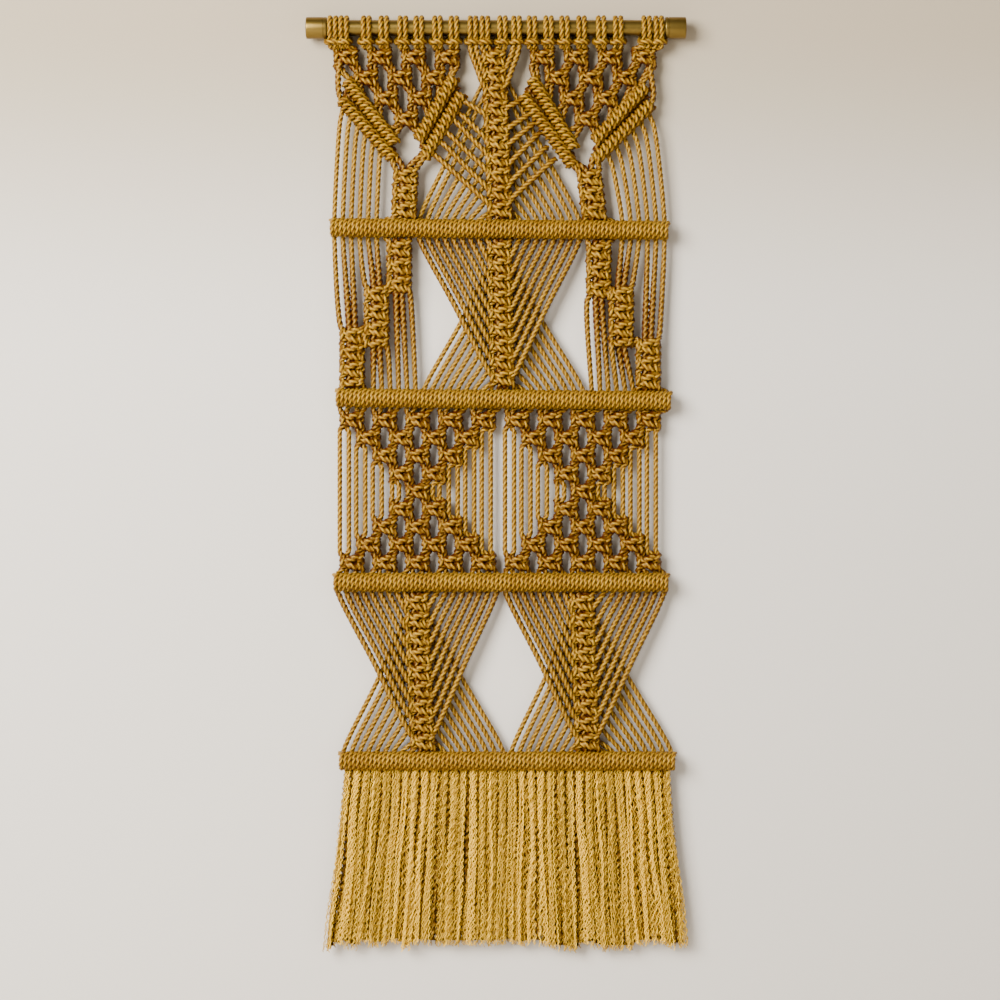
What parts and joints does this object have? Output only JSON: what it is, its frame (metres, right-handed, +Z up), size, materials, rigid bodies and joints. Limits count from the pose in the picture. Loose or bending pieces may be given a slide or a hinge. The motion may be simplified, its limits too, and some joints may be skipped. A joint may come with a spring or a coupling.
{
  "type": "macrame wall hanging on a brass rod",
  "caption": "Macrame wall hanging: knotted cord bands with nets, braids and hitch bars and an unravelled fringe, hung from a brass rod.",
  "frame": {"origin": "middle of the rod's axis, where the hanging is carried from the wall", "axes": "+Z up, +X along the rod to the viewer's right, +Y back to the wall"},
  "size_m": [0.3842, 0.0244, 0.9379],
  "materials": {
    "brass": "brushed brass",
    "cord": "twisted three-ply cord, ochre",
    "fringe": "unravelled, crimped cord ends, ochre"
  },
  "bodies": {
    "root": {"brass_rod": "brass", "end_cap_left": "brass", "end_cap_right": "brass", "panel_upper": "cord", "panel_lower": "cord", "fringe": "fringe"}
  },
  "joints": []
}
